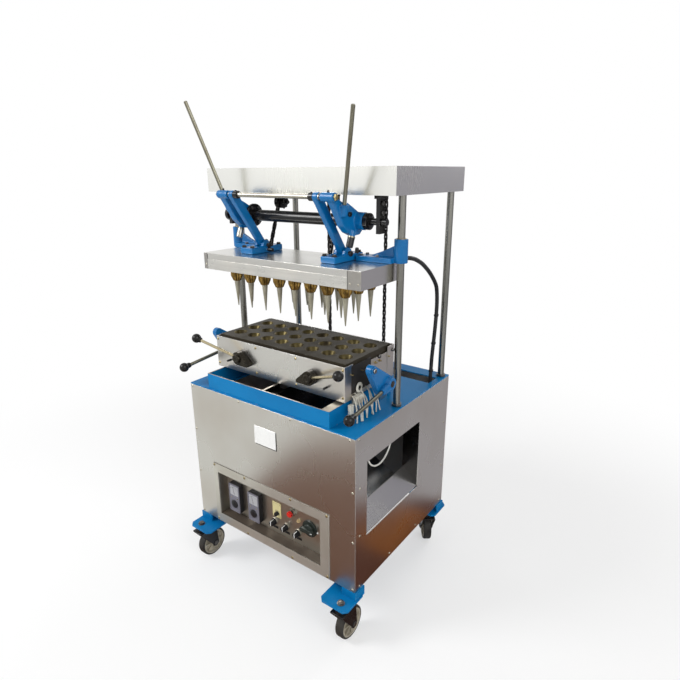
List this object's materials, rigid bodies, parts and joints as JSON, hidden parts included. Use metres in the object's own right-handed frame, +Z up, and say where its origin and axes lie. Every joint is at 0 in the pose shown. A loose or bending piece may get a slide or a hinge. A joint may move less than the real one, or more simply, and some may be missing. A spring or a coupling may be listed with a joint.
{
  "type": "ice cream cone machine",
  "caption": "Floor-standing wafer cone baking machine: blue deck on a stainless cabinet with casters, hand-cranked press with pointed cores over a split cavity mould",
  "frame": {"origin": "centre of the bounding box's base, on the floor", "axes": "+X to the machine's right seen from the front, +Y to its back, +Z up"},
  "size_m": [0.688, 0.651, 1.5127],
  "materials": {
    "blue_paint": "glossy bright blue enamel on steel and castings",
    "stainless": "smooth stainless sheet with soft reflections",
    "bright_steel": "plain turned steel bar",
    "core_steel": "ground grey cores under brass-coloured fluted collars",
    "cast_iron": "dark machined iron plate",
    "black_steel": "satin black",
    "black_plastic": "moulded black plastic",
    "conduit_rubber": "black flexible conduit",
    "grey_plastic": "light grey instrument case",
    "red_plastic": "red push button",
    "tyre": "black tread on a pale core"
  },
  "bodies": {
    "cabinet": {"base_frame": "blue_paint", "front_panel": "stainless", "right_panel": "stainless", "back_wrap": "stainless", "top_deck": "blue_paint", "cone_chute": "stainless", "control_box": "stainless", "controller_1": "grey_plastic", "controller_2": "grey_plastic", "pole_front_left": "bright_steel", "pole_front_right": "bright_steel", "pole_rear_left": "bright_steel", "pole_rear_right": "bright_steel", "canopy": "stainless", "hanger_left": "black_steel", "hanger_right": "black_steel", "mould_housing": "stainless", "chain_left": "black_steel", "chain_right": "black_steel", "conduit": "conduit_rubber"},
    "press": {"press_cover": "stainless", "core_plate": "core_steel", "guide_sleeve_left": "blue_paint", "guide_sleeve_right": "blue_paint", "arm_foot_left": "blue_paint", "arm_foot_right": "blue_paint"},
    "crank": {"crank_left": "blue_paint", "crank_right": "blue_paint", "lift_shaft": "black_steel", "hand_lever_left": "bright_steel", "hand_lever_right": "bright_steel"},
    "arms": {"lift_arm_left": "blue_paint", "lift_arm_right": "blue_paint", "crossbar": "bright_steel"},
    "counterweight": {"counterweight": "cast_iron"},
    "sprocket_left": {"sprocket_left": "black_steel"},
    "sprocket_right": {"sprocket_right": "black_steel"},
    "rear_sprockets": {"rear_sprocket_shaft": "black_steel"},
    "bar_1": {"mould_bar_1": "cast_iron"},
    "bar_2": {"mould_bar_2": "cast_iron"},
    "bar_3": {"mould_bar_3": "cast_iron"},
    "bar_4": {"mould_bar_4": "cast_iron"},
    "side_lever_left": {"side_lever_left": "blue_paint"},
    "side_lever_right": {"side_lever_right": "blue_paint"},
    "clamp_left": {"clamp_left": "black_steel"},
    "clamp_right": {"clamp_right": "black_steel"},
    "rotary": {"rotary_switch": "black_plastic"},
    "selector_1": {"selector_1": "black_plastic"},
    "selector_2": {"selector_2": "black_plastic"},
    "selector_3": {"selector_3": "black_plastic"},
    "dial": {"dial_knob": "black_plastic"},
    "button": {"red_button": "red_plastic"},
    "fork_front_left": {"fork_front_left": "black_steel"},
    "wheel_front_left": {"wheel_front_left": "tyre"},
    "fork_front_right": {"fork_front_right": "black_steel"},
    "wheel_front_right": {"wheel_front_right": "tyre"},
    "fork_rear_left": {"fork_rear_left": "black_steel"},
    "wheel_rear_left": {"wheel_rear_left": "tyre"},
    "fork_rear_right": {"fork_rear_right": "black_steel"},
    "wheel_rear_right": {"wheel_rear_right": "tyre"}
  },
  "joints": [
    {"name": "press_slide", "type": "slide", "parent": "cabinet", "child": "press", "axis": [0, 0, 1], "range_m": [-0.18, 0], "deforming": ["chain_left", "chain_right", "conduit"]},
    {"name": "crank_turn", "type": "hinge", "parent": "cabinet", "child": "crank", "pos_m": [0, -0.0835, 1.193], "axis": [1, 0, 0], "range_deg": [0, 82.2]},
    {"name": "arm_swing", "type": "hinge", "parent": "press", "child": "arms", "pos_m": [0, -0.081, 1.103], "axis": [1, 0, 0], "range_deg": [-10.2, 0]},
    {"name": "weight_slide", "type": "slide", "parent": "cabinet", "child": "counterweight", "axis": [0, 0, 1], "range_m": [0, 0.18]},
    {"name": "sprocket_left_turn", "type": "hinge", "parent": "cabinet", "child": "sprocket_left", "pos_m": [-0.116, -0.0195, 1.231], "axis": [1, 0, 0], "range_deg": [0, 516]},
    {"name": "sprocket_right_turn", "type": "hinge", "parent": "cabinet", "child": "sprocket_right", "pos_m": [0.116, -0.0195, 1.289], "axis": [1, 0, 0], "range_deg": [0, 516]},
    {"name": "rear_sprockets_turn", "type": "hinge", "parent": "cabinet", "child": "rear_sprockets", "pos_m": [0, 0.1885, 1.289], "axis": [1, 0, 0], "range_deg": [0, 516]},
    {"name": "side_lever_right_swing", "type": "hinge", "parent": "cabinet", "child": "side_lever_right", "pos_m": [0.305, -0.0795, 0.749], "axis": [1, 0, 0], "range_deg": [-35, 0]},
    {"name": "side_lever_left_swing", "type": "hinge", "parent": "cabinet", "child": "side_lever_left", "pos_m": [-0.305, -0.0795, 0.749], "axis": [1, 0, 0], "range_deg": [-35, 0]},
    {"name": "bar_1_slide", "type": "slide", "parent": "cabinet", "child": "bar_1", "axis": [0, 1, 0], "range_m": [-0.009, 0]},
    {"name": "bar_2_slide", "type": "slide", "parent": "cabinet", "child": "bar_2", "axis": [0, 1, 0], "range_m": [-0.003, 0]},
    {"name": "bar_3_slide", "type": "slide", "parent": "cabinet", "child": "bar_3", "axis": [0, 1, 0], "range_m": [0, 0.003]},
    {"name": "bar_4_slide", "type": "slide", "parent": "cabinet", "child": "bar_4", "axis": [0, 1, 0], "range_m": [0, 0.009]},
    {"name": "clamp_right_swing", "type": "hinge", "parent": "cabinet", "child": "clamp_right", "pos_m": [0.1414, -0.2235, 0.7717], "axis": [0, 1, 0], "range_deg": [-70, 0]},
    {"name": "clamp_left_swing", "type": "hinge", "parent": "cabinet", "child": "clamp_left", "pos_m": [-0.1414, -0.2235, 0.7717], "axis": [0, 1, 0], "range_deg": [0, 70]},
    {"name": "rotary_turn", "type": "hinge", "parent": "cabinet", "child": "rotary", "pos_m": [0.138, -0.2345, 0.28], "axis": [0, 1, 0], "range_deg": [0, 90]},
    {"name": "selector_1_turn", "type": "hinge", "parent": "cabinet", "child": "selector_1", "pos_m": [-0.01, -0.2345, 0.242], "axis": [0, 1, 0], "range_deg": [-45, 45]},
    {"name": "selector_2_turn", "type": "hinge", "parent": "cabinet", "child": "selector_2", "pos_m": [0.04, -0.2345, 0.242], "axis": [0, 1, 0], "range_deg": [-45, 45]},
    {"name": "selector_3_turn", "type": "hinge", "parent": "cabinet", "child": "selector_3", "pos_m": [0.09, -0.2345, 0.242], "axis": [0, 1, 0], "range_deg": [-45, 45]},
    {"name": "dial_turn", "type": "hinge", "parent": "cabinet", "child": "dial", "pos_m": [0.005, -0.2345, 0.279], "axis": [0, 1, 0], "range_deg": [0, 270]},
    {"name": "button_press", "type": "slide", "parent": "cabinet", "child": "button", "axis": [0, 1, 0], "range_m": [0, 0.004], "stiffness_N_per_m": 250},
    {"name": "fork_front_left_swivel", "type": "hinge", "parent": "cabinet", "child": "fork_front_left", "pos_m": [-0.304, -0.3015, 0.136], "axis": [0, 0, 1], "continuous": true},
    {"name": "wheel_front_left_spin", "type": "hinge", "parent": "fork_front_left", "child": "wheel_front_left", "pos_m": [-0.304, -0.2645, 0.05], "axis": [1, 0, 0], "continuous": true},
    {"name": "fork_front_right_swivel", "type": "hinge", "parent": "cabinet", "child": "fork_front_right", "pos_m": [0.304, -0.3015, 0.136], "axis": [0, 0, 1], "continuous": true},
    {"name": "wheel_front_right_spin", "type": "hinge", "parent": "fork_front_right", "child": "wheel_front_right", "pos_m": [0.304, -0.2645, 0.05], "axis": [1, 0, 0], "continuous": true},
    {"name": "fork_rear_left_swivel", "type": "hinge", "parent": "cabinet", "child": "fork_rear_left", "pos_m": [-0.304, 0.2385, 0.136], "axis": [0, 0, 1], "continuous": true},
    {"name": "wheel_rear_left_spin", "type": "hinge", "parent": "fork_rear_left", "child": "wheel_rear_left", "pos_m": [-0.304, 0.2755, 0.05], "axis": [1, 0, 0], "continuous": true},
    {"name": "fork_rear_right_swivel", "type": "hinge", "parent": "cabinet", "child": "fork_rear_right", "pos_m": [0.304, 0.2385, 0.136], "axis": [0, 0, 1], "continuous": true},
    {"name": "wheel_rear_right_spin", "type": "hinge", "parent": "fork_rear_right", "child": "wheel_rear_right", "pos_m": [0.28225, 0.26843, 0.05], "axis": [0.809, 0.5878, 0], "continuous": true}
  ],
  "couplings": [
    {"joint": "crank_turn", "follows": "press_slide", "rad_per_m": -7.9624},
    {"joint": "arm_swing", "follows": "press_slide", "rad_per_m": 0.97642},
    {"joint": "weight_slide", "follows": "press_slide", "ratio": -1},
    {"joint": "sprocket_left_turn", "follows": "press_slide", "rad_per_m": -50},
    {"joint": "sprocket_right_turn", "follows": "press_slide", "rad_per_m": -50},
    {"joint": "rear_sprockets_turn", "follows": "press_slide", "rad_per_m": -50},
    {"joint": "side_lever_left_swing", "follows": "side_lever_right_swing", "ratio": 1},
    {"joint": "bar_1_slide", "follows": "side_lever_right_swing", "m_per_rad": 0.014733},
    {"joint": "bar_2_slide", "follows": "side_lever_right_swing", "m_per_rad": 0.004911},
    {"joint": "bar_3_slide", "follows": "side_lever_right_swing", "m_per_rad": -0.004911},
    {"joint": "bar_4_slide", "follows": "side_lever_right_swing", "m_per_rad": -0.014733}
  ]
}
